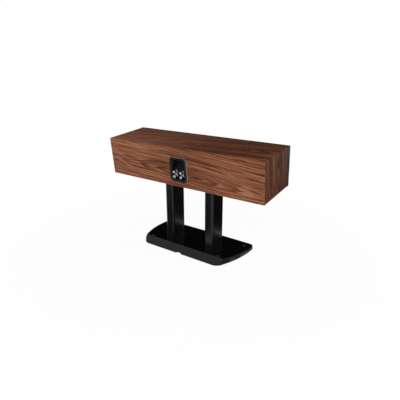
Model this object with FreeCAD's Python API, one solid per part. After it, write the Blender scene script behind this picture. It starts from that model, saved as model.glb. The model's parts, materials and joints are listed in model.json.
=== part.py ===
import FreeCAD, Part
import math
import os

V = FreeCAD.Vector
os.makedirs("parts", exist_ok=True)

# Center channel speaker on its twin-pillar stand, in millimetres
# +Z is up, the drivers face -Y, the terminals face +Y, the floor is z = 0

# Cabinet
cabinet_width = 914.0
cabinet_height = 198.0
cabinet_depth = 267.0
panel_thickness = 18.0
baffle_thickness = 18.0
edge_round = 2.0
baffle_round = 5.0
tilt_back = 4.8
divider_x = 63.0
brace_inset = 107.0
board_thickness = 12.0
brace_rim = 28.0
brace_corner = 20.0

# Stand
stand_height = 375.0
half_depth = 145.0
foot_height = 4.0
base_lip = 2.0
base_rear_top = 33.5
base_front_top = 20.0
base_flank = 40.0
base_rear_half = 234.0
base_front_half = 295.0
base_front_y = -142.0
end_bulge = 22.5
front_bow = 3.0
rear_corner = 44.0
front_corner = 30.0
base_edge_round = 3.0
notch_width = 30.0
notch_height = 4.0
notch_depth = 32.0
notch_round = 3.2
pillar_x = 126.0
pillar_y = 2.0
pillar_width = 52.0
pillar_depth = 108.0
pillar_corner = 14.0
pillar_wall = 3.0
plate_length = 330.0
plate_depth = 150.0
plate_thickness = 6.0
plate_corner = 14.0
plate_y = 14.0
boss_radius = 13.0
boss_height = 34.0
rod_radius = 5.0
rod_head_radius = 9.0
rod_head_height = 7.0
rod_clearance = 0.6
rod_top_gap = 6.0
head_clearance = 1.0
cabinet_screw_x = 70.0
cabinet_screw_y = 50.0
cabinet_screw_radius = 3.0
cabinet_screw_bite = 12.0
foot_radius = 17.0
foot_chamfer = 1.0
foot_stud_radius = 4.0
foot_spots = ((210.0, 96.0), (-210.0, 96.0), (258.0, -95.0), (-258.0, -95.0))
cap_radius = 6.5
cap_height = 4.5
cap_sink = 1.5
cap_clearance = 0.8
cap_thread = 2.5

# Terminal cup and its posts
cup_width = 104.0
cup_height = 126.0
cup_z = 88.5
cup_corner = 11.0
cup_flange = 4.0
cup_flange_round = 2.4
cup_rim = 10.0
cup_wall = 3.0
cup_recess = 12.0
cup_gap = 0.5
shelf_height = 4.0
shelf_width = 68.0
shelf_depth = 46.0
shelf_corner = 6.0
post_column = 19.5
post_row = 11.5
post_drop = 22.5
post_radius = 4.0
post_collar_radius = 7.0
post_collar = 3.0
post_tail_radius = 2.5
post_tail = 16.0
post_tip = 2.5
socket_radius = 2.05
socket_length = 16.0
link_width = 12.0
link_thickness = 1.0
washer_radius = 6.8
washer_thickness = 1.5
nut_radius = 7.5
nut_length = 16.0
nut_chamfer = 1.2
nut_flutes = 8
flute_radius = 1.8
flute_out = 0.9
flute_start = 2.5
thread_clearance = 0.15

# Drivers, each depth measured inward from the front face
flange_clearance = 0.4
woofer_inset = 222.0
woofer = dict(z=99.0, frame=86.0, flange=6.0, throat=71.5, cone=60.0, coil=19.0, spider=36.0,
              plate=62.0, magnet=52.0, gap=22.0, cap=27.0, neck=32.0)
mid = dict(z=60.0, frame=52.0, flange=5.0, throat=40.0, cone=32.5, coil=12.5, spider=21.0,
           plate=36.0, magnet=34.0, gap=15.0, cap=16.0, neck=17.0)
basket_wall = 3.5
basket_step = 8.0
basket_floor = 4.0
ledge_width = 8.0
spoke_foot = 5.0
shelf_in = 2.0
spoke_count = 6
window_angle = 42.0
window_start = 9.0
window_reach = 5.0
seat_inset = 4.0
coil_air = 1.5
motor_plate = 6.0
gap_relief = 5.0
coil_reach = 0.55
cone_sheet = 1.2
cone_lip = 2.0
cone_edge = 1.5
former_half = 0.4
cap_rise = 0.42
cap_sheet = 1.1
rubber = 1.0
roll_height = 4.0
roll_gap = 1.0
surround_lap = 4.2
spider_sheet = 1.0
spider_wave = 2.2
spider_folds = 6
spider_lap = 0.5
tweeter = dict(z=152.0, frame=34.0, flange=5.0, throat=27.0, lip=28.0, flare=20.0, flare_depth=1.7,
               opening=15.5, seat=18.2, seat_depth=1.0, apex=0.6, dome=12.7, rim_depth=6.0,
               dome_sheet=0.7, former=12.0, edge=18.0, edge_sheet=0.8, edge_roll=14.2, roll_rise=0.8,
               pole=11.0, pole_depth=7.0, chamber=18.0, chamber_depth=20.0, top_plate=4.0, gap=14.2,
               plate=26.0, cup=24.0, cup_step=8.0, depth=38.0)

# Crossover: coils as x, y, radius, height and capacitors as x, y, radius, length
crossover_width = 96.0
crossover_length = 128.0
crossover_y = 30.0
crossover_lift = 8.0
crossover_thickness = 1.6
spacer_size = 8.0
spacer_inset = 8.0
coil_bore = 0.45
coils_at = ((-24.0, 62.0, 20.0, 24.0), (24.0, 62.0, 17.0, 20.0), (24.0, 18.0, 15.0, 18.0))
capacitors_at = ((-26.0, 22.0, 9.0, 34.0), (-26.0, 0.0, 8.0, 30.0), (-26.0, -20.0, 7.0, 28.0),
                 (22.0, -12.0, 7.0, 26.0))

front_y = -cabinet_depth / 2
rear_y = cabinet_depth / 2
wrap_front = front_y + baffle_thickness
inner_rear = rear_y - panel_thickness
inner_top = cabinet_height - panel_thickness
woofer_x = cabinet_width / 2 - woofer_inset
brace_x = cabinet_width / 2 - brace_inset
tilt = math.radians(tilt_back)
cabinet_y = -half_depth + math.cos(tilt) * cabinet_depth / 2
base_bottom = foot_height
flank_y = half_depth - base_flank
pillar_spots = ((pillar_x, pillar_y), (-pillar_x, pillar_y))


def save(shape, name):
    shape.exportStep("parts/" + name + ".step")


def in_cabinet(shape):
    # From the cabinet's own upright frame to its tilted place on the stand
    out = shape.copy()
    out.rotate(V(0, 0, 0), V(1, 0, 0), -tilt_back)
    out.translate(V(0, cabinet_y, stand_height))
    return out


def turned(start, *steps):
    # A solid of revolution about Z from (radius, height) points: a step is the end of a line,
    # or the middle and the end of an arc
    here = V(start[0], 0, start[1])
    first = here
    edges = []
    for step in steps:
        points = [V(r, 0, a) for r, a in step]
        if len(points) == 1:
            edges.append(Part.makeLine(here, points[0]))
        else:
            edges.append(Part.Arc(here, points[0], points[1]).toShape())
        here = points[-1]
    edges.append(Part.makeLine(here, first))
    return Part.Face(Part.Wire(edges)).revolve(V(0, 0, 0), V(0, 0, 1), 360)


def straight(points):
    return turned(points[0], *[(p,) for p in points[1:]])


def facing(shape, x, y, z):
    # Turns the axis Z of a turned piece to +Y and sets it in the cabinet's frame
    out = shape.copy()
    out.rotate(V(0, 0, 0), V(1, 0, 0), -90)
    out.translate(V(x, y, z))
    return out


def rounded(width, height, corner):
    # A flat rectangle with round corners about the origin, in the plane XY
    w = width / 2
    h = height / 2
    box = Part.makePolygon([V(-w, -h, 0), V(w, -h, 0), V(w, h, 0), V(-w, h, 0), V(-w, -h, 0)])
    solid = Part.Face(box).extrude(V(0, 0, 1))
    upright = [e for e in solid.Edges if abs(e.tangentAt(e.FirstParameter).z) > 0.9]
    solid = solid.makeFillet(corner, upright)
    return [f for f in solid.Faces if f.CenterOfMass.z < 1e-6][0]


def slab(width, height, corner, y_from, y_to, x, z):
    # A rounded plate that stands across Y in the cabinet's frame
    plate = rounded(width, height, corner).extrude(V(0, 0, y_to - y_from))
    return facing(plate, x, y_from, z)


def cylinder(radius, y_from, y_to, x, z):
    return Part.makeCylinder(radius, y_to - y_from, V(x, y_from, z), V(0, 1, 0))


def ball_shell(rim, rise, foot, sheet):
    # A thin hollow ball about Z, placed so that a rim at foot has its crown rise in front of it
    radius = (rim * rim + rise * rise) / (2 * rise)
    middle = V(0, 0, foot - rise + radius)
    return Part.makeSphere(radius, middle).cut(Part.makeSphere(radius - sheet, middle))


# Cone driver pieces, in (radius, depth) about their own axis
def basket_of(d):
    ledge = d["flange"] - rubber
    inner = d["throat"] - basket_wall
    seat = d["magnet"] - seat_inset
    bore = d["coil"] + basket_floor
    step = d["flange"] + basket_step
    back = d["plate"]
    shape = straight([(d["frame"], 0), (d["frame"], d["flange"]), (d["throat"], d["flange"]),
                      (d["throat"], step), (seat, back), (bore, back), (bore, back - basket_floor),
                      (seat - spoke_foot, back - basket_floor), (seat - shelf_in, d["spider"]),
                      (seat + spoke_foot, d["spider"]), (inner, step - rubber), (inner, ledge),
                      (inner + ledge_width, ledge), (inner + ledge_width, 0)])
    lower = step - rubber / 2
    upper = d["spider"] - basket_wall
    near = seat - rubber
    far = d["throat"] + window_reach
    ring = [V(near, 0, lower), V(far, 0, lower), V(far, 0, upper), V(near, 0, upper), V(near, 0, lower)]
    window = Part.Face(Part.makePolygon(ring)).revolve(V(0, 0, 0), V(0, 0, 1), window_angle)
    for spoke in range(spoke_count):
        opening = window.copy()
        opening.rotate(V(0, 0, 0), V(0, 0, 1), 360 / spoke_count * spoke + window_start)
        shape = shape.cut(opening)
    return shape


def motor_of(d):
    # Pole piece, magnet ring and plates, bonded round the voice coil gap
    pole = d["coil"] - coil_air
    gap = d["coil"] + coil_air
    seat = d["magnet"] - seat_inset
    top = d["plate"]
    under = top + motor_plate
    deep = top + d["gap"]
    end = deep + motor_plate
    return straight([(0, top), (pole, top), (pole, deep), (gap + gap_relief, deep), (gap + gap_relief, under),
                     (gap, under), (gap, top), (seat, top), (seat, under), (d["magnet"], under),
                     (d["magnet"], deep), (seat, deep), (seat, end), (0, end)])


def cone_of(d):
    front = d["flange"] - rubber
    inside = d["coil"] - former_half
    outside = d["coil"] + former_half
    lip = d["cone"] - cone_lip
    edge = d["cone"] + cone_edge
    end = d["plate"] + d["gap"] * coil_reach
    return straight([(edge, front), (lip, front), (inside, d["neck"]), (inside, end), (outside, end),
                     (outside, d["neck"] + cone_sheet), (lip, front + cone_sheet), (edge, front + cone_sheet)])


def cone_depth(d, radius):
    front = d["flange"] - rubber
    lip = d["cone"] - cone_lip
    run = lip - d["coil"] + former_half
    return front + (d["neck"] - front) * (lip - radius) / run


def dust_cap_of(d):
    # The part of a thin ball that stands in front of the cone
    rim = d["cap"]
    foot = cone_depth(d, rim)
    rise = rim * cap_rise
    front = foot - rise - cap_sheet
    wide = rim + cap_sheet
    neck = cone_depth(d, d["coil"])
    ahead = straight([(0, front), (wide, front), (wide, cone_depth(d, wide)), (d["coil"], neck), (0, neck)])
    return ball_shell(rim, rise, foot, cap_sheet).common(ahead)


def surround_of(d):
    # A half-roll that joins the cone's edge to the basket's ledge
    back = d["flange"] - rubber
    face = back - rubber
    inner = d["cone"] - cone_lip
    outer = d["throat"] + surround_lap
    start = d["cone"] + roll_gap
    end = d["throat"] - roll_gap
    crown = (start + end) / 2
    return turned((inner, face), ((start, face),), ((crown, face - roll_height), (end, face)),
                  ((outer, face),), ((outer, back),), ((end - rubber, back),),
                  ((crown, face - roll_height + rubber), (start + rubber, back)), ((inner, back),))


def spider_of(d):
    inner = d["coil"] + former_half
    outer = d["magnet"] + spider_lap
    step = (outer - seat_inset - inner) / spider_folds
    back = d["spider"]
    wave = [(inner, back)]
    for fold in range(1, spider_folds):
        wave.append((inner + step * fold, back - (spider_wave if fold % 2 else 0.0)))
    wave.append((outer, back))
    return straight(wave + [(r, a - spider_sheet) for r, a in reversed(wave)])


# Cabinet panels, mitred where the rear panel meets the folded wrap
outer_box = Part.makeBox(cabinet_width, rear_y - wrap_front, cabinet_height,
                         V(-cabinet_width / 2, wrap_front, 0))
rounded_edges = []
for edge in outer_box.Edges:
    if edge.CenterOfMass.y > wrap_front + 1:
        rounded_edges.append(edge)
outer_box = outer_box.makeFillet(edge_round, rounded_edges)


def mitre_outline(y, inset):
    x = cabinet_width / 2 - inset
    return Part.makePolygon([V(-x, y, inset), V(x, y, inset), V(x, y, cabinet_height - inset),
                             V(-x, y, cabinet_height - inset), V(-x, y, inset)])


mitre = Part.makeLoft([mitre_outline(inner_rear, panel_thickness),
                       mitre_outline(rear_y + panel_thickness, -panel_thickness)], True, True)
cavity = Part.makeBox(cabinet_width - 2 * panel_thickness, cabinet_depth,
                      cabinet_height - 2 * panel_thickness,
                      V(-cabinet_width / 2 + panel_thickness, wrap_front - 1, panel_thickness))
screw_holes = []
for sx in (1, -1):
    for sy in (1, -1):
        spot = V(sx * cabinet_screw_x, plate_y + sy * cabinet_screw_y, 0)
        screw_holes.append(Part.makeCylinder(cabinet_screw_radius, cabinet_screw_bite, spot))
wrap = outer_box.cut(cavity).cut(mitre)
for hole in screw_holes:
    wrap = wrap.cut(hole)
save(in_cabinet(wrap), "cabinet_wrap")

cup_body_width = cup_width - 2 * cup_rim
cup_body_height = cup_height - 2 * cup_rim
cup_floor = rear_y - cup_recess
cup_back = cup_floor - cup_wall
cup_opening = slab(cup_body_width + 2 * cup_gap, cup_body_height + 2 * cup_gap, cup_corner,
                   rear_y - 2 * panel_thickness, rear_y + panel_thickness, 0, cup_z)
rear_panel = outer_box.common(mitre).cut(cup_opening)
save(in_cabinet(rear_panel), "rear_panel")

# Front baffle with a stepped seat for every driver
baffle = Part.makeBox(cabinet_width, baffle_thickness, cabinet_height,
                      V(-cabinet_width / 2, front_y, 0))
front_edges = [e for e in baffle.Edges if e.CenterOfMass.y < front_y + 1e-3]
baffle = baffle.makeFillet(baffle_round, front_edges)
cone_drivers = (("woofer_left", woofer, -woofer_x), ("woofer_right", woofer, woofer_x),
                ("midrange", mid, 0.0))
for name, d, x in cone_drivers:
    seat = cylinder(d["frame"] + flange_clearance, front_y - 1, front_y + d["flange"], x, d["z"])
    baffle = baffle.cut(seat)
    baffle = baffle.cut(cylinder(d["throat"] + flange_clearance, front_y - 1, wrap_front + 1, x, d["z"]))
baffle = baffle.cut(cylinder(tweeter["frame"] + flange_clearance, front_y - 1,
                             front_y + tweeter["flange"], 0, tweeter["z"]))
baffle = baffle.cut(cylinder(tweeter["throat"], front_y - 1, wrap_front + 1, 0, tweeter["z"]))
save(in_cabinet(baffle), "front_baffle")

# Inner boards: two sealed dividers and two window braces
board_depth = inner_rear - wrap_front
board_height = inner_top - panel_thickness
for side, name in ((-1, "left"), (1, "right")):
    board = Part.makeBox(board_thickness, board_depth, board_height,
                         V(side * divider_x - board_thickness / 2, wrap_front, panel_thickness))
    save(in_cabinet(board), "divider_" + name)
    board = Part.makeBox(board_thickness, board_depth, board_height,
                         V(side * brace_x - board_thickness / 2, wrap_front, panel_thickness))
    window = rounded(board_depth - 2 * brace_rim, board_height - 2 * brace_rim, brace_corner)
    window = window.extrude(V(0, 0, 4 * board_thickness))
    window.rotate(V(0, 0, 0), V(1, 0, 0), 90)
    window.rotate(V(0, 0, 0), V(0, 0, 1), 90)
    window.translate(V(side * brace_x - 2 * board_thickness, (wrap_front + inner_rear) / 2,
                       cabinet_height / 2))
    save(in_cabinet(board.cut(window)), "brace_" + name)

# Drivers
for name, d, x in cone_drivers:
    pieces = (("basket", basket_of), ("motor", motor_of), ("cone", cone_of),
              ("dust_cap", dust_cap_of), ("surround", surround_of), ("spider", spider_of))
    for piece, make in pieces:
        save(in_cabinet(facing(make(d), x, front_y, d["z"])), name + "_" + piece)

t = tweeter
face_back = t["flange"]
seat_back = face_back - t["seat_depth"]
faceplate = turned((t["frame"], 0), ((t["frame"], face_back),), ((t["seat"], face_back),),
                   ((t["seat"], seat_back),), ((t["opening"], seat_back),),
                   ((t["flare"], t["flare_depth"]), (t["lip"], 0)))
dome_rise = t["rim_depth"] - t["apex"]
ahead = Part.makeCylinder(t["frame"], t["rim_depth"])
dome = ball_shell(t["dome"], dome_rise, t["rim_depth"], t["dome_sheet"]).common(ahead)
former = Part.makeCylinder(t["dome"], t["former"] - t["rim_depth"], V(0, 0, t["rim_depth"]))
former = former.cut(Part.makeCylinder(t["dome"] - t["dome_sheet"], t["former"], V(0, 0, 0)))
dome = dome.fuse(former)
edge_face = face_back - t["edge_sheet"]
dome_surround = turned((t["dome"], edge_face),
                       ((t["edge_roll"], edge_face - t["roll_rise"]), (t["opening"], edge_face)),
                       ((t["edge"], edge_face),), ((t["edge"], face_back),), ((t["dome"], face_back),))
plate_under = face_back + t["top_plate"]
tweeter_motor = straight([(0, t["pole_depth"]), (t["pole"], t["pole_depth"]), (t["pole"], t["chamber_depth"]),
                          (t["chamber"], t["chamber_depth"]), (t["chamber"], plate_under),
                          (t["gap"], plate_under), (t["gap"], face_back), (t["plate"], face_back),
                          (t["plate"], plate_under), (t["cup"], face_back + t["cup_step"]),
                          (t["cup"], t["depth"]), (0, t["depth"])])
for shape, name in ((faceplate, "tweeter_faceplate"), (dome, "tweeter_dome"),
                    (dome_surround, "tweeter_surround"), (tweeter_motor, "tweeter_motor")):
    save(in_cabinet(facing(shape, 0, front_y, t["z"])), name)

# Terminal cup: a proud rounded flange, a dished body and a shelf for the posts
flange_face = rear_y + cup_flange
cup = slab(cup_width, cup_height, cup_corner + cup_rim, rear_y, flange_face, 0, cup_z)
flange_edges = [e for e in cup.Edges if e.CenterOfMass.y > flange_face - 1e-3]
cup = cup.makeFillet(cup_flange_round, flange_edges)
cup = cup.fuse(slab(cup_body_width, cup_body_height, cup_corner, cup_back, rear_y, 0, cup_z))
dish = slab(cup_body_width - 2 * cup_wall, cup_body_height - 2 * cup_wall, cup_corner - cup_wall,
            cup_floor, flange_face + 1, 0, cup_z)
cup = cup.cut(dish)
shelf_face = cup_floor + shelf_height
post_z = cup_z - post_drop
cup = cup.fuse(slab(shelf_width, shelf_depth, shelf_corner, cup_floor - 1, shelf_face, 0, post_z))
post_spots = []
for column, side in ((-1, "left"), (1, "right")):
    for row, level in ((1, "upper"), (-1, "lower")):
        post_spots.append((side + "_" + level, column * post_column, post_z + row * post_row))
for name, x, z in post_spots:
    cup = cup.cut(cylinder(post_tail_radius, cup_back - 1, shelf_face + 1, x, z))
save(in_cabinet(cup.removeSplitter()), "terminal_cup")

# Binding posts, with their links clamped below the thumb nuts
collar_face = shelf_face + post_collar
link_face = collar_face + link_thickness
washer_face = link_face + washer_thickness
nut_face = washer_face + nut_length
tip_y = nut_face + post_tip
hole_radius = post_radius + thread_clearance
flute_ring = nut_radius + flute_out
studs = []
for name, x, z in post_spots:
    stud = cylinder(post_collar_radius, shelf_face, collar_face, x, z)
    stud = stud.fuse(cylinder(post_radius, collar_face, tip_y, x, z))
    stud = stud.fuse(cylinder(post_tail_radius, cup_back - post_tail, shelf_face, x, z))
    stud = stud.cut(cylinder(socket_radius, tip_y - socket_length, tip_y, x, z))
    studs.append(in_cabinet(stud))
    washer = cylinder(washer_radius, link_face, washer_face, x, z)
    washer = washer.cut(cylinder(hole_radius, link_face, washer_face, x, z))
    save(in_cabinet(washer), "clamp_washer_" + name)
    nut = cylinder(nut_radius, washer_face, nut_face, x, z)
    rim = [e for e in nut.Edges if abs(e.CenterOfMass.y - nut_face) < 1e-3 and e.Length > 5 * nut_radius]
    nut = nut.makeChamfer(nut_chamfer, rim)
    for k in range(nut_flutes):
        turn = 2 * math.pi * k / nut_flutes
        flute = cylinder(flute_radius, washer_face + flute_start, nut_face + 1,
                         x + flute_ring * math.cos(turn), z + flute_ring * math.sin(turn))
        nut = nut.cut(flute)
    nut = nut.cut(cylinder(hole_radius, washer_face - 1, nut_face + 1, x, z))
    save(in_cabinet(nut), "thumb_nut_" + name)
save(Part.makeCompound(studs), "binding_posts")
link_end = link_width / 2 - 0.01
for column, name in ((-1, "left"), (1, "right")):
    x = column * post_column
    link = slab(link_width, 2 * post_row + link_width, link_end, collar_face, link_face, x, post_z)
    for row in (1, -1):
        link = link.cut(cylinder(hole_radius, collar_face - 1, link_face + 1, x, post_z + row * post_row))
    save(in_cabinet(link), "jumper_link_" + name)

# Crossover board on spacers above the floor of the middle chamber
board_z = panel_thickness + crossover_lift
board_top = board_z + crossover_thickness
board = Part.makeBox(crossover_width, crossover_length, crossover_thickness,
                     V(-crossover_width / 2, crossover_y - crossover_length / 2, board_z))
save(in_cabinet(board), "crossover_board")
spacers = []
spacer_x = crossover_width / 2 - spacer_inset
spacer_y = crossover_length / 2 - spacer_inset
for sx in (1, -1):
    for sy in (1, -1):
        corner = V(sx * spacer_x - spacer_size / 2, crossover_y + sy * spacer_y - spacer_size / 2,
                   panel_thickness)
        spacers.append(in_cabinet(Part.makeBox(spacer_size, spacer_size, crossover_lift, corner)))
save(Part.makeCompound(spacers), "board_spacers")
coils = []
for x, y, outer, height in coils_at:
    coil = Part.makeCylinder(outer, height, V(x, y, board_top))
    coil = coil.cut(Part.makeCylinder(outer * coil_bore, height, V(x, y, board_top)))
    coils.append(in_cabinet(coil))
save(Part.makeCompound(coils), "crossover_coils")
capacitors = []
for x, y, radius, length in capacitors_at:
    can = Part.makeCylinder(radius, length, V(x - length / 2, y, board_top + radius), V(1, 0, 0))
    capacitors.append(in_cabinet(can))
save(Part.makeCompound(capacitors), "crossover_capacitors")

# Base: one long wedge section, higher behind the pillars and with a broad rear flank,
# cut to a plan that widens to the front and has bowed ends
top_slope = (base_rear_top - base_front_top) / (flank_y - base_front_y)
far_front = base_front_y - 2 * front_bow
far_end = 2 * base_front_half


def base_top_at(y):
    return base_rear_top - top_slope * (flank_y - y)


def base_section(z_low):
    # The wedge between a level plane and the sloping top, longer than the base
    lip = base_bottom + base_lip
    corners = [(far_front, z_low), (half_depth, z_low), (half_depth, lip), (flank_y, base_rear_top),
               (far_front, base_top_at(far_front))]
    points = [V(-far_end, y, z) for y, z in corners]
    return Part.Face(Part.makePolygon(points + [points[0]])).extrude(V(2 * far_end, 0, 0))


across = (half_depth + base_front_y) / 2
bulged = (base_rear_half + base_front_half) / 2 + end_bulge
rear_right = V(base_rear_half, half_depth, base_bottom)
rear_left = V(-base_rear_half, half_depth, base_bottom)
front_right = V(base_front_half, base_front_y, base_bottom)
front_left = V(-base_front_half, base_front_y, base_bottom)
front_middle = V(0, base_front_y - front_bow, base_bottom)
plan = [Part.makeLine(rear_left, rear_right),
        Part.Arc(rear_right, V(bulged, across, base_bottom), front_right).toShape(),
        Part.Arc(front_right, front_middle, front_left).toShape(),
        Part.Arc(front_left, V(-bulged, across, base_bottom), rear_left).toShape()]
base = Part.Face(Part.Wire(plan)).extrude(V(0, 0, 2 * base_rear_top))
for corner, is_rear in ((rear_corner, True), (front_corner, False)):
    upright = [e for e in base.Edges if abs(e.tangentAt(e.FirstParameter).z) > 0.9
               and (e.CenterOfMass.y > half_depth - 1 if is_rear else e.CenterOfMass.y < base_front_y + 1)]
    base = base.makeFillet(corner, upright)
base = base.common(base_section(base_bottom))
crown = [f for f in base.Faces if f.normalAt(0, 0).z > 0.99][0]
base = base.makeFillet(base_edge_round, crown.Edges)
notch = Part.makeBox(notch_width, notch_depth + 1, notch_height,
                     V(-notch_width / 2, half_depth - notch_depth, base_bottom))
notch_edges = [e for e in notch.Edges if abs(e.CenterOfMass.z - base_bottom - notch_height) < 1e-6
               and abs(e.tangentAt(e.FirstParameter).y) > 0.9]
base = base.cut(notch.makeFillet(notch_round, notch_edges))
for x, y in pillar_spots:
    base = base.cut(Part.makeCylinder(rod_radius + rod_clearance, 2 * base_rear_top, V(x, y, 0)))
    base = base.cut(Part.makeCylinder(rod_head_radius + head_clearance, rod_head_height + head_clearance,
                                      V(x, y, base_bottom)))
for x, y in foot_spots:
    base = base.cut(Part.makeCylinder(foot_stud_radius, 2 * base_rear_top, V(x, y, 0)))
    base = base.cut(Part.makeCylinder(cap_radius + cap_clearance, base_rear_top,
                                      V(x, y, base_top_at(y) - cap_sink)))
save(base, "base_plate")

# Top plate below the cabinet, with a threaded boss down into each pillar
top_plate = rounded(plate_length, plate_depth, plate_corner).extrude(V(0, 0, plate_thickness))
top_plate.translate(V(0, plate_y, -plate_thickness))
for hole in screw_holes:
    through = hole.copy()
    through.translate(V(0, 0, -cabinet_screw_bite))
    top_plate = top_plate.cut(through)
top_plate = in_cabinet(top_plate)
above_plate = in_cabinet(Part.makeBox(2 * plate_length, 4 * plate_depth, stand_height,
                                      V(-plate_length, -2 * plate_depth, -plate_thickness)))
below_pillars = base_section(-base_bottom)
plate_rise = math.tan(tilt) * (pillar_y - cabinet_y)
plate_low = stand_height - plate_thickness / math.cos(tilt) - plate_rise
boss_bottom = plate_low - boss_height
rod_end = plate_low - rod_top_gap
rod_bottom = base_bottom + head_clearance
rods = []
for spot, name in zip(pillar_spots, ("pillar_right", "pillar_left")):
    x, y = spot
    section = rounded(pillar_width, pillar_depth, pillar_corner)
    inside = rounded(pillar_width - 2 * pillar_wall, pillar_depth - 2 * pillar_wall,
                     pillar_corner - pillar_wall)
    pillar = section.cut(inside).extrude(V(0, 0, stand_height))
    pillar.translate(V(x, y, base_bottom))
    save(pillar.cut(below_pillars).cut(above_plate), name)
    boss = Part.makeCylinder(boss_radius, 2 * boss_height, V(x, y, boss_bottom)).cut(above_plate)
    top_plate = top_plate.fuse(boss)
    top_plate = top_plate.cut(Part.makeCylinder(rod_radius, rod_end - boss_bottom, V(x, y, boss_bottom)))
    head = Part.makeCylinder(rod_head_radius, rod_head_height, V(x, y, rod_bottom))
    rods.append(head.fuse(Part.makeCylinder(rod_radius, rod_end - rod_bottom, V(x, y, rod_bottom))))
save(top_plate, "top_plate")
save(Part.makeCompound(rods), "tie_rods")

# Screws that hold the cabinet to the top plate
screws = []
for sx in (1, -1):
    for sy in (1, -1):
        x = sx * cabinet_screw_x
        y = plate_y + sy * cabinet_screw_y
        head = Part.makeCylinder(2 * cabinet_screw_radius, cabinet_screw_radius, V(x, y, -plate_thickness),
                                 V(0, 0, -1))
        shank = Part.makeCylinder(cabinet_screw_radius, plate_thickness + cabinet_screw_bite,
                                  V(x, y, -plate_thickness))
        screws.append(in_cabinet(head.fuse(shank)))
save(Part.makeCompound(screws), "cabinet_screws")

# Levelling feet: a round glide on a stud, locked by a cap nut let into the top
feet = []
caps = []
for x, y in foot_spots:
    cap_seat = base_top_at(y) - cap_sink
    foot = Part.makeCylinder(foot_radius, foot_height, V(x, y, 0))
    ground = [e for e in foot.Edges if e.Length > 5 * foot_radius and e.CenterOfMass.z < 1e-6]
    foot = foot.makeChamfer(foot_chamfer, ground)
    feet.append(foot.fuse(Part.makeCylinder(foot_stud_radius, cap_seat + cap_thread, V(x, y, 0))))
    cap = Part.makeCylinder(cap_radius, cap_height, V(x, y, cap_seat))
    crest = [e for e in cap.Edges if e.Length > 5 * cap_radius and e.CenterOfMass.z > cap_seat + 1]
    cap = cap.makeChamfer(foot_chamfer, crest)
    caps.append(cap.cut(Part.makeCylinder(foot_stud_radius, cap_thread, V(x, y, cap_seat))))
save(Part.makeCompound(feet), "levelling_feet")
save(Part.makeCompound(caps), "foot_cap_nuts")
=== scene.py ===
import json
import math

import bpy
from mathutils import Matrix, Vector


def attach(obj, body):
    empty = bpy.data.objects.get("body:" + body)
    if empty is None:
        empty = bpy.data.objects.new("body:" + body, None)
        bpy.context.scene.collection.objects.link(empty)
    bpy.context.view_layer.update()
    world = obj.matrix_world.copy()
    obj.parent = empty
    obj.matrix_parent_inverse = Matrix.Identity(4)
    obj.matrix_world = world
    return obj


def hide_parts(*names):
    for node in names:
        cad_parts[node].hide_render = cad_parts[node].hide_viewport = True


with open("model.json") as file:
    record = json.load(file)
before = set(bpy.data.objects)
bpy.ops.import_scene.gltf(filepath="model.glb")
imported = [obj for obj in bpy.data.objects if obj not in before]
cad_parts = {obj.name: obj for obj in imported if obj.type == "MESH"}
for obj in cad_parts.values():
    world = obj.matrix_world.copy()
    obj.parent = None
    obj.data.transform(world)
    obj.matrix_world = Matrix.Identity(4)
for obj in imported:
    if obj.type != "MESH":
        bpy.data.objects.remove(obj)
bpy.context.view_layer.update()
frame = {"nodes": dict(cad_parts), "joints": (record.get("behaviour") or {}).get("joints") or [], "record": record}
nodes = frame["nodes"]
print("frame loaded:", len(nodes), "nodes")

# The cabinet leans back on its stand: its own axes, read from a woofer's travel
wooferTravel = next(joint for joint in frame["joints"] if joint["name"] == "woofer_left_travel")
frontAxis = Vector(wooferTravel["axis"]).normalized()
rearAxis = -frontAxis
sideAxis = Vector((1, 0, 0))
upAxis = sideAxis.cross(rearAxis)
leanBack = math.atan2(frontAxis.z, -frontAxis.y)


# Small helpers
def deselectAll():
    bpy.ops.object.select_all(action="DESELECT")


def activate(obj):
    deselectAll()
    obj.select_set(True)
    bpy.context.view_layer.objects.active = obj


def editMode(obj):
    activate(obj)
    bpy.ops.object.mode_set(mode="EDIT")


def objectMode():
    bpy.ops.object.mode_set(mode="OBJECT")


def applyPlace(obj):
    activate(obj)
    bpy.ops.object.transform_apply(location=True, rotation=True, scale=True)


def applyModifiers(obj):
    activate(obj)
    for modifier in list(obj.modifiers):
        bpy.ops.object.modifier_apply(modifier=modifier.name)


def addObject(name, data):
    obj = bpy.data.objects.new(name, data)
    bpy.context.scene.collection.objects.link(obj)
    return obj


def aimAt(obj, place, aim):
    # Lamps and cameras look along their own -Z
    obj.location = place
    obj.rotation_euler = (Vector(aim) - Vector(place)).to_track_quat("-Z", "Y").to_euler()


def paint(obj, material):
    obj.data.materials.clear()
    obj.data.materials.append(material)


def extremeCentre(nodeName, direction, depth=0.0002):
    # Middle of a node's outermost face along a direction
    points = [v.co for v in nodes[nodeName].data.vertices]
    reach = max(p.dot(direction) for p in points)
    face = [p for p in points if p.dot(direction) > reach - depth]
    middle = Vector((0, 0, 0))
    for axis in range(3):
        low = min(p[axis] for p in face)
        high = max(p[axis] for p in face)
        middle[axis] = (low + high) / 2
    return middle + direction * (reach - middle.dot(direction))


# Shader helpers
def addNode(tree, kind, **values):
    item = tree.nodes.new(kind)
    for name, value in values.items():
        if name in item.inputs:
            item.inputs[name].default_value = value
        else:
            setattr(item, name, value)
    return item


def feed(tree, source, target):
    if isinstance(source, (int, float)):
        target.default_value = source
    else:
        tree.links.new(source, target)


def maths(tree, operation, first, second=0.0):
    item = addNode(tree, "ShaderNodeMath", operation=operation)
    feed(tree, first, item.inputs[0])
    feed(tree, second, item.inputs[1])
    return item.outputs[0]


def hypotenuse(tree, first, second):
    squares = maths(tree, "ADD", maths(tree, "POWER", first, 2.0), maths(tree, "POWER", second, 2.0))
    return maths(tree, "SQRT", squares)


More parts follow.
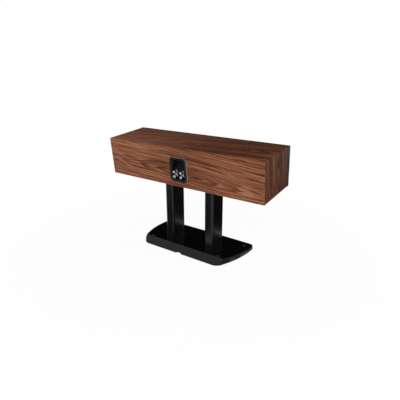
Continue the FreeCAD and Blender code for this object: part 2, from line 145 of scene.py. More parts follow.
def vectorMaths(tree, operation, vector):
    item = addNode(tree, "ShaderNodeVectorMath", operation=operation)
    tree.links.new(vector, item.inputs[0])
    return item


def project(tree, vector, axis):
    item = vectorMaths(tree, "DOT_PRODUCT", vector)
    item.inputs[1].default_value = axis
    return item.outputs["Value"]


def combine(tree, x, y, z):
    item = tree.nodes.new("ShaderNodeCombineXYZ")
    for value, socket in zip((x, y, z), item.inputs):
        feed(tree, value, socket)
    return item.outputs[0]


def separate(tree, vector):
    item = tree.nodes.new("ShaderNodeSeparateXYZ")
    tree.links.new(vector, item.inputs[0])
    return item.outputs


def noise(tree, vector, scale, detail, roughness):
    item = addNode(tree, "ShaderNodeTexNoise", Scale=scale, Detail=detail, Roughness=roughness)
    tree.links.new(vector, item.inputs["Vector"])
    return item.outputs["Fac"]


def span(tree, value, fromLow, fromHigh, toLow=0.0, toHigh=1.0):
    item = tree.nodes.new("ShaderNodeMapRange")
    feed(tree, value, item.inputs["Value"])
    limits = {"From Min": fromLow, "From Max": fromHigh, "To Min": toLow, "To Max": toHigh}
    for name, number in limits.items():
        item.inputs[name].default_value = number
    return item.outputs["Result"]


def ramp(tree, value, stops):
    item = tree.nodes.new("ShaderNodeValToRGB")
    elements = item.color_ramp.elements
    while len(elements) < len(stops):
        elements.new(0.5)
    for element, (place, color) in zip(elements, stops):
        element.position = place
        element.color = (*color, 1.0)
    tree.links.new(value, item.inputs["Fac"])
    return item.outputs["Color"]


def mixColor(tree, mask, share, first, second):
    # The second colour comes in by its share where the mask is full
    item = addNode(tree, "ShaderNodeMix", data_type="RGBA")
    tree.links.new(maths(tree, "MULTIPLY", mask, share), item.inputs["Factor"])
    for value, name in ((first, "A"), (second, "B")):
        socket = next(s for s in item.inputs if s.name == name and s.type == "RGBA")
        if isinstance(value, tuple):
            socket.default_value = (*value, 1.0)
        else:
            tree.links.new(value, socket)
    return next(s for s in item.outputs if s.type == "RGBA")


def bumpFrom(tree, height, strength, distance, normal=None):
    item = addNode(tree, "ShaderNodeBump", Strength=strength, Distance=distance)
    tree.links.new(height, item.inputs["Height"])
    if normal is not None:
        tree.links.new(normal, item.inputs["Normal"])
    return item.outputs["Normal"]


def newMaterial(name, **values):
    material = bpy.data.materials.new(name)
    material.use_nodes = True
    shader = material.node_tree.nodes["Principled BSDF"]
    for key, value in values.items():
        shader.inputs[key.replace("_", " ")].default_value = value
    return material, material.node_tree, shader


def dress(tree, shader, color, rough, normal):
    for source, name in ((color, "Base Color"), (rough, "Roughness"), (normal, "Normal")):
        tree.links.new(source, shader.inputs[name])


def objectCoords(tree):
    return tree.nodes.new("ShaderNodeTexCoord").outputs["Object"]


def surfaceNormal(tree, kind="Normal"):
    return tree.nodes.new("ShaderNodeNewGeometry").outputs[kind]


def cabinetCoords(tree, centre=(0, 0, 0)):
    # Across, rearwards and up in the leaning cabinet's own axes
    turn = addNode(tree, "ShaderNodeMapping", vector_type="TEXTURE",
                   Location=centre, Rotation=(-leanBack, 0, 0))
    tree.links.new(objectCoords(tree), turn.inputs["Vector"])
    return separate(tree, turn.outputs[0])


def newGroup(name, inputs, outputs):
    group = bpy.data.node_groups.new(name, "ShaderNodeTree")
    for direction, sockets in (("INPUT", inputs), ("OUTPUT", outputs)):
        for label, kind in sockets.items():
            group.interface.new_socket(name=label, in_out=direction, socket_type="NodeSocket" + kind)
    given = group.nodes.new("NodeGroupInput").outputs
    result = group.nodes.new("NodeGroupOutput").inputs
    return group, given, result


def useGroup(tree, group, **values):
    item = tree.nodes.new("ShaderNodeGroup")
    item.node_tree = group
    for name, value in values.items():
        feed(tree, value, item.inputs[name])
    return item.outputs


# Shared effect: softened edges that catch light, with a mask of the edges, where finishes lighten for wear and for
# a painted highlight
edgeWearAndHighlight = dict(samples=6, facing=(0.995, 0.8))


def makeEdgeGroup():
    group, given, result = newGroup("softEdges", {"Radius": "Float"},
                                    {"Normal": "Vector", "Edge": "Float"})
    bevel = group.nodes.new("ShaderNodeBevel")
    bevel.samples = edgeWearAndHighlight["samples"]
    group.links.new(given["Radius"], bevel.inputs["Radius"])
    product = vectorMaths(group, "DOT_PRODUCT", bevel.outputs["Normal"])
    group.links.new(surfaceNormal(group), product.inputs[1])
    edge = span(group, product.outputs["Value"], *edgeWearAndHighlight["facing"])
    group.links.new(bevel.outputs["Normal"], result["Normal"])
    group.links.new(edge, result["Edge"])
    return group


softEdges = makeEdgeGroup()

# Shared effect: handling marks and dust specks on smooth finishes
handling = {  # noise is scale, detail and roughness
    "smudge": dict(noise=(14.0, 4.0, 0.6), shown=(0.35, 0.7)),
    "speck": dict(noise=(420.0, 2.0, 0.6), shown=(0.7, 0.78)),
    "grain": dict(noise=(1500.0, 2.0, 0.5)),
}


def makeHandledGroup():
    group, given, result = newGroup("handledFinish", {"Vector": "Vector", "Scale": "Float"},
                                    {"Smudge": "Float", "Speck": "Float", "Grain": "Float"})
    scaled = vectorMaths(group, "SCALE", given["Vector"])
    group.links.new(given["Scale"], scaled.inputs["Scale"])
    for name, mark in handling.items():
        value = noise(group, scaled.outputs[0], *mark["noise"])
        if "shown" in mark:
            value = span(group, value, *mark["shown"])
        group.links.new(value, result[name.capitalize()])
    return group


handledFinish = makeHandledGroup()

# Walnut veneer, figured along the board
walnut = {
    "line": (0.052, 0.0172, 0.0090),
    "deep": (0.135, 0.0475, 0.0240),
    "middle": (0.240, 0.0930, 0.0485),
    "light": (0.395, 0.1760, 0.0990),
    "pore": (0.028, 0.0095, 0.0052),
    "stops": dict(line=0.10, deep=0.34, middle=0.58, light=0.92),
    # Painted light: the top pales towards one rear corner, the rear panel towards the same end
    "topPaintedLight": dict(along=(-0.20, 0.36), across=(-0.25, 0.09), gain=0.52),  # towards one rear corner
    "rearPaintedLight": dict(along=(0.05, 0.44), gain=0.14),  # towards the same end
    # The fold's shade is painted shade that darkens the ends
    "fold": dict(facing=0.6, start=1.02, shade=0.05),  # start: about half the width plus the top's height
    "rearMiddle": 0.44,  # height about which the rear panel's figure lies
    "specular": 0.02,
    "poreShare": 0.7,
    "edge": 0.0016,
    "wornAndHighlightShare": 0.45,
    "rough": dict(fibre=(0.2, 0.8, 0.44, 0.58), pores=0.2),  # fibre range, then the roughness over it
    "relief": dict(fibre=0.3, strength=0.35, distance=0.0003),
}
# Its figure: grain is scale along and across, then detail and roughness
figure = {
    "slope": -0.065,
    "drift": dict(grain=(2.0, 4.0), reach=(-0.020, 0.020)),
    "ripple": dict(grain=(9.0, 18.0), reach=(-0.0014, 0.0014)),
    "rings": dict(spacing=0.0098, leafShift=0.035, slant=0.085,
                  early=(0.12, 0.80), late=(0.92, 1.0), gain=0.34),
    "uneven": dict(grain=(2.5, 60.0), gain=2.6),
    "flecks": dict(grain=(7.0, 250.0, 1.0), shown=(0.54, 0.62), depth=(-0.03, 0.18)),
    "heart": dict(reach=(0.0, 0.024), depth=(0.09, 0.0)),
    "pores": dict(grain=(30.0, 620.0, 1.0), shown=(0.58, 0.68), rings=(0.8, 0.1, 0.3, 1.0)),
}
# Layers that lie over the growth rings, from broad streaks to single fibres
figureLayers = {
    "streak": dict(grain=(3.5, 185.0, 3.0, 0.65), shown=(0.30, 0.70), gain=0.32),
    "board": dict(grain=(1.3, 14.0), shown=(0.30, 0.70), gain=0.14),
    "band": dict(grain=(1.5, 44.0), shown=(0.32, 0.68), gain=0.28),
    "fibre": dict(grain=(24.0, 1300.0, 2.0, 0.6), shown=(0.30, 0.70), gain=0.10),
}


def makeFigureGroup():
    group, given, result = newGroup("walnutFigure",
                                    {"Along": "Float", "Across": "Float", "Leaf": "Float"},
                                    {"Tone": "Float", "Pores": "Float", "Fibre": "Float"})
    along = given["Along"]

    def grain(side, alongScale, acrossScale, detail=2.0, roughness=0.5):
        place = combine(group, maths(group, "MULTIPLY", along, alongScale),
                        maths(group, "MULTIPLY", side, acrossScale), given["Leaf"])
        return noise(group, place, 1.0, detail, roughness)

    # Fibres that run a little out of line, drift and ripple
    line = maths(group, "ADD", given["Across"], maths(group, "MULTIPLY", along, figure["slope"]))
    side = line
    for name in ("drift", "ripple"):
        wander = span(group, grain(line, *figure[name]["grain"]), 0.0, 1.0, *figure[name]["reach"])
        side = maths(group, "ADD", side, wander)
    # Growth rings cut at a slant: long flat arches with a thin dark edge
    rings = figure["rings"]
    shift = maths(group, "MULTIPLY", given["Leaf"], rings["leafShift"])
    reach = maths(group, "MULTIPLY", maths(group, "ADD", along, shift), rings["slant"])
    count = maths(group, "DIVIDE", hypotenuse(group, side, reach), rings["spacing"])
    uneven = maths(group, "MULTIPLY", grain(side, *figure["uneven"]["grain"]), figure["uneven"]["gain"])
    growth = maths(group, "FRACT", maths(group, "ADD", count, uneven))
    early = span(group, growth, *rings["early"], 1.0, 0.0)
    ringTone = maths(group, "MAXIMUM", early, span(group, growth, *rings["late"]))
    # Streaks, bands and fibres add to the tone, flecks and the heart of the arches darken it
    tone = maths(group, "MULTIPLY", ringTone, rings["gain"])
    layers = {}
    for name, layer in figureLayers.items():
        layers[name] = grain(side, *layer["grain"])
        tone = maths(group, "ADD", tone, span(group, layers[name], *layer["shown"], 0.0, layer["gain"]))
    flecks = figure["flecks"]
    speckled = span(group, grain(side, *flecks["grain"]), *flecks["shown"], *flecks["depth"])
    tone = maths(group, "SUBTRACT", tone, speckled)
    heart = figure["heart"]
    middle = span(group, maths(group, "ABSOLUTE", reach), *heart["reach"], *heart["depth"])
    tone = maths(group, "SUBTRACT", tone, middle)
    # Pores show most in the dark of each ring
    pores = figure["pores"]
    dashes = span(group, grain(side, *pores["grain"]), *pores["shown"])
    openPores = maths(group, "MULTIPLY", dashes, span(group, ringTone, *pores["rings"]))
    group.links.new(tone, result["Tone"])
    group.links.new(openPores, result["Pores"])
    group.links.new(layers["fibre"], result["Fibre"])
    return group


walnutFigure = makeFigureGroup()


def layWrap(tree, place):
    # On the ends the veneer folds over, so the grain runs down them
    fold = walnut["fold"]
    patch = walnut["topPaintedLight"]
    facing = separate(tree, surfaceNormal(tree, "True Normal"))["X"]
    onEnd = maths(tree, "GREATER_THAN", maths(tree, "ABSOLUTE", facing), fold["facing"])
    drop = maths(tree, "MULTIPLY", maths(tree, "SIGN", place["X"]),
                 maths(tree, "SUBTRACT", fold["start"], place["Z"]))
    along = tree.nodes.new("ShaderNodeMix")
    for source, name in ((onEnd, "Factor"), (place["X"], "A"), (drop, "B")):
        tree.links.new(source, along.inputs[name])
    # Painted light on the top, paler towards one rear corner
    paintedLight = maths(tree, "MULTIPLY", span(tree, place["X"], *patch["along"]),
                 span(tree, place["Y"], *patch["across"], 0.0, patch["gain"]))
    # Painted shade darkens the ends
    paintedLight = maths(tree, "SUBTRACT", paintedLight, maths(tree, "MULTIPLY", onEnd, fold["shade"]))
    return along.outputs["Result"], place["Y"], paintedLight


def layRear(tree, place):
    patch = walnut["rearPaintedLight"]
    across = maths(tree, "SUBTRACT", place["Z"], walnut["rearMiddle"])
    # Painted light, paler towards one end of the rear panel
    return place["X"], across, span(tree, place["X"], *patch["along"], 0.0, patch["gain"])


# shade lowers each board's tone; the wrap's lower shade is painted shade on its top and ends
walnutLeaves = {
    "walnutRear": dict(lay=layRear, leaf=1.7, shade=-0.100),
    "walnutWrap": dict(lay=layWrap, leaf=4.3, shade=-0.172),
}


def makeWalnut(name, lay, leaf, shade):
    material, tree, shader = newMaterial(name, Specular_IOR_Level=walnut["specular"])
    along, across, paintedLight = lay(tree, cabinetCoords(tree))
    veneer = useGroup(tree, walnutFigure, Along=along, Across=across, Leaf=leaf)
    # Painted light and shade, and each board's shade, shift the figure's tone
    tone = maths(tree, "ADD", veneer["Tone"], maths(tree, "ADD", paintedLight, shade))
    color = ramp(tree, tone, [(place, walnut[stop]) for stop, place in walnut["stops"].items()])
    color = mixColor(tree, veneer["Pores"], walnut["poreShare"], color, walnut["pore"])
    soft = useGroup(tree, softEdges, Radius=walnut["edge"])
    # Edges lighten: partly rubbed wear, partly a painted highlight
    color = mixColor(tree, soft["Edge"], walnut["wornAndHighlightShare"], color, walnut["light"])
    rough = maths(tree, "ADD", span(tree, veneer["Fibre"], *walnut["rough"]["fibre"]),
                  maths(tree, "MULTIPLY", veneer["Pores"], walnut["rough"]["pores"]))
    relief = walnut["relief"]
    raised = maths(tree, "MULTIPLY", veneer["Fibre"], relief["fibre"])
    height = maths(tree, "SUBTRACT", raised, veneer["Pores"])
    normal = bumpFrom(tree, height, relief["strength"], relief["distance"], soft["Normal"])
    dress(tree, shader, color, rough, normal)
    return material


# Dark finishes: lacquer, anodised extrusions, moulded plastic, cast frames, rubber
darkFinishes = {
    "baffleLacquer": dict(color=(0.014, 0.014, 0.0145), rough=0.42, spread=0.10,
                          edge=0.0012, bump=0.02, specular=0.06),
    "baseGloss": dict(color=(0.0030, 0.0027, 0.0030), rough=0.07, spread=0.04,
                      edge=0.0012, bump=0.003, specular=0.23),
    "pillarSatin": dict(color=(0.0028, 0.0026, 0.0028), rough=0.24, spread=0.05,
                        edge=0.0010, bump=0.008, specular=0.31),
    "plateCoat": dict(color=(0.012, 0.012, 0.012), rough=0.55, spread=0.10,
                      edge=0.0008, bump=0.25, specular=0.4),
    "cupMoulding": dict(color=(0.0095, 0.0095, 0.0092), rough=0.30, spread=0.08,
                        edge=0.0008, bump=0.10, specular=0.10),
    "castFrame": dict(color=(0.014, 0.014, 0.015), rough=0.40, spread=0.12,
                      edge=0.0006, bump=0.10, specular=0.5),
    "faceplateSatin": dict(color=(0.012, 0.012, 0.013), rough=0.30, spread=0.08,
                           edge=0.0005, bump=0.05, specular=0.5),
    "surroundRubber": dict(color=(0.011, 0.011, 0.011), rough=0.58, spread=0.12,
                           edge=0.0004, bump=0.10, specular=0.35),
    "glideRubber": dict(color=(0.013, 0.013, 0.013), rough=0.6, spread=0.1,
                        edge=0.0006, bump=0.1, specular=0.35),
}
# Smudges lighten the finish, and edges lighten as rubbed wear and a painted highlight: a gain on its colour and a
# lift
darkWearAndHighlight = dict(smudge=(1.9, 0.0008), smudgeShare=0.5, dust=(0.05, 0.048, 0.045), dustShare=0.08,
                rubbedAndHighlit=(4, 0.006), rubbedAndHighlitShare=0.5, bumpDepth=0.0002)


def toned(color, gain, lift=0.0):
    return tuple(c * gain + lift for c in color)


def makeDark(name, paintLight=None):
    finish = darkFinishes[name]
    base = finish["color"]
    material, tree, shader = newMaterial(name, Specular_IOR_Level=finish["specular"])
    marks = useGroup(tree, handledFinish, Vector=objectCoords(tree), Scale=1.0)
    soft = useGroup(tree, softEdges, Radius=finish["edge"])
    smudged = toned(base, *darkWearAndHighlight["smudge"])
    rubbedAndHighlit = toned(base, *darkWearAndHighlight["rubbedAndHighlit"])
    color = mixColor(tree, marks["Smudge"], darkWearAndHighlight["smudgeShare"], base, smudged)
    color = mixColor(tree, marks["Speck"], darkWearAndHighlight["dustShare"], color, darkWearAndHighlight["dust"])
    # Edges lighten: partly rubbed wear, partly a painted highlight
    color = mixColor(tree, soft["Edge"], darkWearAndHighlight["rubbedAndHighlitShare"], color, rubbedAndHighlit)
    if paintLight is not None:
        color = paintLight(tree, color)
    rough = span(tree, marks["Smudge"], 0.0, 1.0, finish["rough"], finish["rough"] + finish["spread"])
    normal = bumpFrom(tree, marks["Grain"], finish["bump"], darkWearAndHighlight["bumpDepth"], soft["Normal"])
    dress(tree, shader, color, rough, normal)
    return material


# The terminal cup: its recess is darkened with painted shade, and the outer rim of its flange carries a painted
# highlight
cupCentre = extremeCentre("terminal_cup", rearAxis)
cupTone = dict(paintedRecessShade=(0.0018, 0.0018, 0.0018), recessDepth=(0.006, 0.009),
               rim=(0.34, 0.34, 0.30), rimDepth=(0.0046, 0.0036), rimFacing=(0.90, 0.55),
               rimSide=(0.046, 0.047), rimUp=(0.057, 0.058))


def beyond(tree, axis, reach):
    # One where the surface lies farther than a reach from the cup's middle
    offset = maths(tree, "SUBTRACT", project(tree, objectCoords(tree), axis), cupCentre.dot(axis))
    return span(tree, maths(tree, "ABSOLUTE", offset), *reach)


def paintCupShadeAndHighlight(tree, color):
    depth = maths(tree, "SUBTRACT", cupCentre.dot(rearAxis), project(tree, objectCoords(tree), rearAxis))
    # Painted shade deep in the recess
    color = mixColor(tree, span(tree, depth, *cupTone["recessDepth"]), 1.0, color, cupTone["paintedRecessShade"])
    # Painted highlight on the flange's outer rim
    facing = project(tree, surfaceNormal(tree), rearAxis)
    rim = maths(tree, "MULTIPLY", span(tree, facing, *cupTone["rimFacing"]),
                span(tree, depth, *cupTone["rimDepth"]))
    outer = maths(tree, "MAXIMUM", beyond(tree, sideAxis, cupTone["rimSide"]),
                  beyond(tree, upAxis, cupTone["rimUp"]))
    return mixColor(tree, rim, outer, color, cupTone["rim"])


# Bare and plated metals: posts, caps, rods, motors, windings and turned cones
metals = {
    "postPlating": dict(color=(0.78, 0.78, 0.79), rough=0.12, edge=0.0004),
    "capSteel": dict(color=(0.08, 0.08, 0.083), rough=0.34, edge=0.0004),
    "rodZinc": dict(color=(0.45, 0.46, 0.47), rough=0.38, edge=0.0004),
    "motorSteel": dict(color=(0.16, 0.16, 0.165), rough=0.48, edge=0.0006),
    "coilCopper": dict(color=(0.55, 0.22, 0.10), rough=0.35, edge=0.0003),
    "coneAluminium": dict(color=(0.50, 0.51, 0.52), rough=0.34, edge=0.0003),
}
metalWear = dict(markScale=2.0, smudge=0.72, smudgeShare=0.6, spread=0.12, bump=0.03, bumpDepth=0.0002)
turning = dict(lines=1600.0, detail=3.0, roughness=0.6, shown=(0.35, 0.65),
               tone=0.6, share=0.35, bump=0.10)


def makeMetal(name, axisPoint=None):
    finish = metals[name]
    base = finish["color"]
    material, tree, shader = newMaterial(name, Metallic=1.0)
    marks = useGroup(tree, handledFinish, Vector=objectCoords(tree), Scale=metalWear["markScale"])
    soft = useGroup(tree, softEdges, Radius=finish["edge"])
    smudged = toned(base, metalWear["smudge"])
    color = mixColor(tree, marks["Smudge"], metalWear["smudgeShare"], base, smudged)
    height = marks["Grain"]
    bump = metalWear["bump"]
    if axisPoint is not None:
        # Turning lines run round the driver's axis
        place = cabinetCoords(tree, axisPoint)
        line = maths(tree, "MULTIPLY", hypotenuse(tree, place["X"], place["Z"]), turning["lines"])
        height = noise(tree, combine(tree, line, 0.0, 0.0), 1.0, turning["detail"], turning["roughness"])
        bump = turning["bump"]
        furrows = span(tree, height, *turning["shown"])
        color = mixColor(tree, furrows, turning["share"], color, toned(base, turning["tone"]))
    rough = span(tree, marks["Smudge"], 0.0, 1.0, finish["rough"], finish["rough"] + metalWear["spread"])
    normal = bumpFrom(tree, height, bump, metalWear["bumpDepth"], soft["Normal"])
    dress(tree, shader, color, rough, normal)
    return material


# Inner finishes that only show with a panel off
innerFinishes = {
    "fibreboard": dict(base=(0.32, 0.22, 0.13), second=(0.24, 0.16, 0.095), scale=260.0, rough=0.75),
    "spiderCloth": dict(base=(0.45, 0.30, 0.14), second=(0.34, 0.21, 0.09), scale=900.0, rough=0.8),
    "circuitBoard": dict(base=(0.035, 0.10, 0.045), second=(0.025, 0.075, 0.035), scale=60.0, rough=0.4),
    "filmWrap": dict(base=(0.42, 0.30, 0.06), second=(0.36, 0.25, 0.05), scale=80.0, rough=0.3),
}
innerMottle = dict(detail=5.0, roughness=0.65, shown=(0.35, 0.65), roughShown=(0.3, 0.7), spread=0.1,
                   bump=0.2, bumpDepth=0.0003)


def makeInner(name, base, second, scale, rough):
    material, tree, shader = newMaterial(name)
    mottle = noise(tree, objectCoords(tree), scale, innerMottle["detail"], innerMottle["roughness"])
    color = mixColor(tree, span(tree, mottle, *innerMottle["shown"]), 1.0, base, second)
    spread = innerMottle["spread"]
    roughness = span(tree, mottle, *innerMottle["roughShown"], rough - spread, rough + spread)
    normal = bumpFrom(tree, mottle, innerMottle["bump"], innerMottle["bumpDepth"])
    dress(tree, shader, color, roughness, normal)
    return material


# Each driver's front face: its turning lines and its screws go round the middle of it
driverFaces = {
    "woofer_left": "woofer_left_basket",
    "woofer_right": "woofer_right_basket",
    "midrange": "midrange_basket",
    "tweeter": "tweeter_faceplate",
}
driverCentres = {name: extremeCentre(face, frontAxis) for name, face in driverFaces.items()}

wood = {name: makeWalnut(name, **leaf) for name, leaf in walnutLeaves.items()}
dark = {name: makeDark(name) for name in darkFinishes}
cupMoulding = makeDark("cupMoulding", paintCupShadeAndHighlight)
plain = {name: makeMetal(name) for name in metals if name != "coneAluminium"}
inner = {name: makeInner(name, **finish) for name, finish in innerFinishes.items()}
turnedAluminium = {name: makeMetal("coneAluminium", tuple(centre))
                   for name, centre in driverCentres.items()}
print("materials made")

# Finishes on the CAD pieces, by name, by the end of a name and by its start
finishOf = {
    "cabinet_wrap": wood["walnutWrap"],
    "rear_panel": wood["walnutRear"],
    "front_baffle": dark["baffleLacquer"],
    "base_plate": dark["baseGloss"],
    "top_plate": dark["plateCoat"],
    "terminal_cup": cupMoulding,
    "levelling_feet": dark["glideRubber"],
    "foot_cap_nuts": plain["capSteel"],
    "tie_rods": plain["rodZinc"],
    "cabinet_screws": plain["rodZinc"],
    "binding_posts": plain["postPlating"],
    "crossover_coils": plain["coilCopper"],
    "crossover_capacitors": inner["filmWrap"],
    "crossover_board": inner["circuitBoard"],
    "board_spacers": dark["cupMoulding"],
    "tweeter_faceplate": dark["faceplateSatin"],
}
finishByEnd = {
    "_basket": dark["castFrame"],
    "_motor": plain["motorSteel"],
    "_surround": dark["surroundRubber"],
    "_spider": inner["spiderCloth"],
}
finishByStart = {
    "pillar": dark["pillarSatin"],
    "clamp_washer": plain["postPlating"],
    "thumb_nut": plain["postPlating"],
    "jumper_link": plain["postPlating"],
    "divider": inner["fibreboard"],
    "brace": inner["fibreboard"],
    **turnedAluminium,
}


def finishFor(name):
    if name in finishOf:
        return finishOf[name]
    for ending, material in finishByEnd.items():
        if name.endswith(ending):
            return material
    return next(material for start, material in finishByStart.items() if name.startswith(start))


for name, obj in nodes.items():
    paint(obj, finishFor(name))
print("finishes set on", len(nodes), "nodes")

# Smooth-shaded copies of the turned and rounded pieces
smoothing = dict(mergeWithin=0.000002, sharpAngle=32, faceWeight=100)
smoothEnds = ("_basket", "_cone", "_dust_cap", "_surround", "_dome")
smoothStarts = ("thumb_nut", "clamp_washer", "jumper_link", "pillar")
smoothNodes = [name for name in nodes if name.endswith(smoothEnds)]
smoothNodes += [name for name in nodes if name.startswith(smoothStarts)]
smoothNodes += ["tweeter_faceplate", "base_plate", "terminal_cup", "binding_posts", "foot_cap_nuts",
                "levelling_feet", "front_baffle", "cabinet_wrap", "rear_panel"]
bodies = frame["record"]["behaviour"]["bodies"]
bodyOf = {node: body for body, members in bodies.items() for node in members}


def smoothCopy(name):
    copy = addObject(name + "_finish", nodes[name].data.copy())
    editMode(copy)
    bpy.ops.mesh.select_all(action="SELECT")
    bpy.ops.mesh.remove_doubles(threshold=smoothing["mergeWithin"])
    objectMode()
    bpy.ops.object.shade_smooth_by_angle(angle=math.radians(smoothing["sharpAngle"]))
    level = copy.modifiers.new("levelFaces", "WEIGHTED_NORMAL")  # broad flat faces stay flat
    level.weight = smoothing["faceWeight"]
    level.keep_sharp = True
    applyModifiers(copy)
    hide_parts(name)
    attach(copy, bodyOf[name])


for name in smoothNodes:
    smoothCopy(name)
print("smooth copies:", len(smoothNodes))

# Socket-head screws round the drivers and on the terminal cup
screw = dict(headRadius=0.0034, headHeight=0.0012, headSides=32, rim=0.0005, rimSteps=3, sharpAngle=30,
             socketAcross=0.0018, socketDepth=0.0009, sink=0.0004, spinStep=23)
screwRings = {
    "woofer_left": dict(radius=0.0805, count=6, turn=30),
    "woofer_right": dict(radius=0.0805, count=6, turn=30),
    "midrange": dict(radius=0.0478, count=4, turn=45),
    "tweeter": dict(radius=0.0305, count=3, turn=90),
}
cupScrews = dict(sideStep=0.0425, upStep=0.0535)


def makeScrew():
    # Centred on the origin, so that half of the head stands proud, with its socket towards +Z
    deselectAll()
    bpy.ops.mesh.primitive_cylinder_add(vertices=screw["headSides"], radius=screw["headRadius"],
                                        depth=screw["headHeight"] * 2)
    head = bpy.context.object
    bevel = head.modifiers.new("rim", "BEVEL")
    bevel.width = screw["rim"]
    bevel.segments = screw["rimSteps"]
    bevel.limit_method = "ANGLE"
    bpy.ops.mesh.primitive_cylinder_add(vertices=6, radius=screw["socketAcross"],
                                        depth=screw["socketDepth"] * 2,
                                        location=(0, 0, screw["headHeight"]))
    cutter = bpy.context.object
    socket = head.modifiers.new("socket", "BOOLEAN")
    socket.object = cutter
    socket.operation = "DIFFERENCE"
    applyModifiers(head)
    bpy.data.objects.remove(cutter)
    activate(head)
    bpy.ops.object.shade_smooth_by_angle(angle=math.radians(screw["sharpAngle"]))
    return head


def placeScrews(pattern, spots, outward, name, material):
    turn = outward.to_track_quat("Z", "Y").to_matrix().to_4x4()
    copies = []
    for k, spot in enumerate(spots):
        one = addObject(name, pattern.data.copy())
        spin = Matrix.Rotation(math.radians(screw["spinStep"] * k), 4, "Z")
        one.matrix_world = Matrix.Translation(spot - outward * screw["sink"]) @ turn @ spin
        copies.append(one)
    activate(copies[0])
    for one in copies:
        one.select_set(True)
    bpy.ops.object.join()
    joined = bpy.context.object
    applyPlace(joined)
    joined.name = name
    paint(joined, material)
    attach(joined, "speaker")


pattern = makeScrew()
for name, ring in screwRings.items():
    spots = []
    for k in range(ring["count"]):
        angle = math.radians(ring["turn"] + 360 * k / ring["count"])
        spots.append(driverCentres[name] + sideAxis * ring["radius"] * math.cos(angle)
                     + upAxis * ring["radius"] * math.sin(angle))
    placeScrews(pattern, spots, frontAxis, name + "_screws", dark["castFrame"])
cupSpots = [cupCentre + sideAxis * sx * cupScrews["sideStep"] + upAxis * sz * cupScrews["upStep"]
            for sx in (1, -1) for sz in (1, -1)]
placeScrews(pattern, cupSpots, rearAxis, "cup_screws", dark["castFrame"])
bpy.data.objects.remove(pattern)
print("screws placed")

# Floor, white surround and lamps
studio = dict(floorSize=14.0, floorLevel=-0.0003, floorColor=(0.86, 0.86, 0.86, 1.0), floorRough=0.9,
              floorSpecular=0.1, whiteShare=0.96, shadowReach=(0.5, 1.3), ambient=0.09)
lamps = {
    "keyLamp": dict(place=(-1.12, 2.90, 1.60), aim=(0, 0.05, 0.35), size=(1.3, 1.3),
                    power=92, glossy=False),
    "frontFill": dict(place=(-0.6, -3.4, 0.6), aim=(0, 0, 0.4), size=(2.2, 1.0),
                      power=80, glossy=True),
}
# Cards that only reflections see, as a gloss black stand is shielded in a studio
cardLift = 0.0004
cards = {
    "frontCard": dict(place=(1.3, -1.7, 1.25), size=(3.8, 2.1), tilt=90),
    "sideFloorCard": dict(place=(-0.9, -1.6, cardLift), size=(3.0, 2.76)),
    "leftCard": dict(place=(-1.40, -1.72, 0.84), size=(1.2, 1.18), tilt=90),
    "endFloorCard": dict(place=(-0.45, -0.03, cardLift), size=(0.36, 0.38), tone=0.8),
    "rearFloorCard": dict(place=(0.38, 0.66, cardLift), size=(0.64, 1.12), turn=-32, tone=0.20),
}


def seenDirectly(tree):
    # One for camera, glossy and transmission rays, which see the plain white surround
    path = tree.nodes.new("ShaderNodeLightPath")
    sight = maths(tree, "MAXIMUM", path.outputs["Is Camera Ray"], path.outputs["Is Glossy Ray"])
    return maths(tree, "MAXIMUM", sight, path.outputs["Is Transmission Ray"])


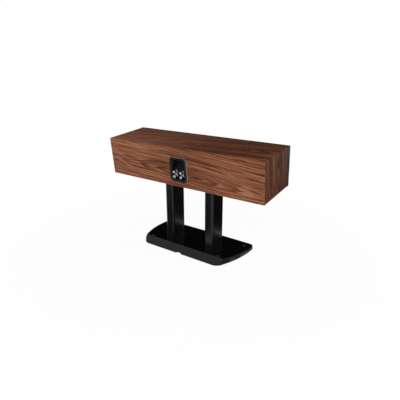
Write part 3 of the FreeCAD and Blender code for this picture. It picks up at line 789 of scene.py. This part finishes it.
def makeFloor():
    deselectAll()
    bpy.ops.mesh.primitive_plane_add(size=studio["floorSize"], location=(0, 0, studio["floorLevel"]))
    floor = bpy.context.object
    floor.name = "studioFloor"
    applyPlace(floor)
    material, tree, shader = newMaterial("floorWhite", Base_Color=studio["floorColor"],
                                         Roughness=studio["floorRough"],
                                         Specular_IOR_Level=studio["floorSpecular"])
    glow = tree.nodes.new("ShaderNodeEmission")
    blend = tree.nodes.new("ShaderNodeMixShader")
    distance = vectorMaths(tree, "LENGTH", objectCoords(tree)).outputs["Value"]
    share = span(tree, distance, *studio["shadowReach"], studio["whiteShare"], 1.0)
    tree.links.new(maths(tree, "MULTIPLY", seenDirectly(tree), share), blend.inputs[0])
    tree.links.new(shader.outputs[0], blend.inputs[1])
    tree.links.new(glow.outputs[0], blend.inputs[2])
    tree.links.new(blend.outputs[0], tree.nodes["Material Output"].inputs["Surface"])
    paint(floor, material)


def makeWorld():
    world = bpy.data.worlds.new("studioWorld")
    bpy.context.scene.world = world
    world.use_nodes = True
    tree = world.node_tree
    background = tree.nodes["Background"]
    background.inputs["Color"].default_value = (1, 1, 1, 1)
    strength = maths(tree, "MAXIMUM", seenDirectly(tree), studio["ambient"])
    tree.links.new(strength, background.inputs["Strength"])


def makeLamp(name, place, aim, size, power, glossy):
    data = bpy.data.lights.new(name, "AREA")
    data.shape = "RECTANGLE"
    data.size, data.size_y = size
    data.energy = power
    lamp = addObject(name, data)
    aimAt(lamp, place, aim)
    lamp.visible_camera = False
    lamp.visible_glossy = glossy


def makeCard(name, place, size, tilt=0, turn=0, tone=0.002):
    deselectAll()
    bpy.ops.mesh.primitive_plane_add(size=1.0)
    card = bpy.context.object
    card.name = name
    card.scale = (*size, 1.0)
    card.rotation_euler = (math.radians(tilt), 0, math.radians(turn))
    card.location = place
    applyPlace(card)
    material = newMaterial(name + "Tone", Base_Color=(tone, tone, tone, 1.0), Roughness=1.0,
                           Specular_IOR_Level=0.0)[0]
    paint(card, material)
    card.visible_camera = False
    card.visible_diffuse = False
    card.visible_shadow = False
    card.visible_transmission = False


makeFloor()
makeWorld()
for name, lamp in lamps.items():
    makeLamp(name, **lamp)
for name, card in cards.items():
    makeCard(name, **card)
print("studio set")

# Camera at the photograph's viewpoint
view = dict(place=(-1.0707, 1.4959, 0.9375), aim=(-0.0293, -0.0120, 0.2608), lens=33.33, sensor=36.0,
            nearest=0.01)


def makeCamera():
    data = bpy.data.cameras.new("photoCamera")
    data.lens = view["lens"]
    data.sensor_width = view["sensor"]
    data.clip_start = view["nearest"]
    camera = addObject("photoCamera", data)
    aimAt(camera, view["place"], view["aim"])
    bpy.context.scene.camera = camera


makeCamera()
bpy.context.scene.view_settings.view_transform = "Standard"
print("scene ready")
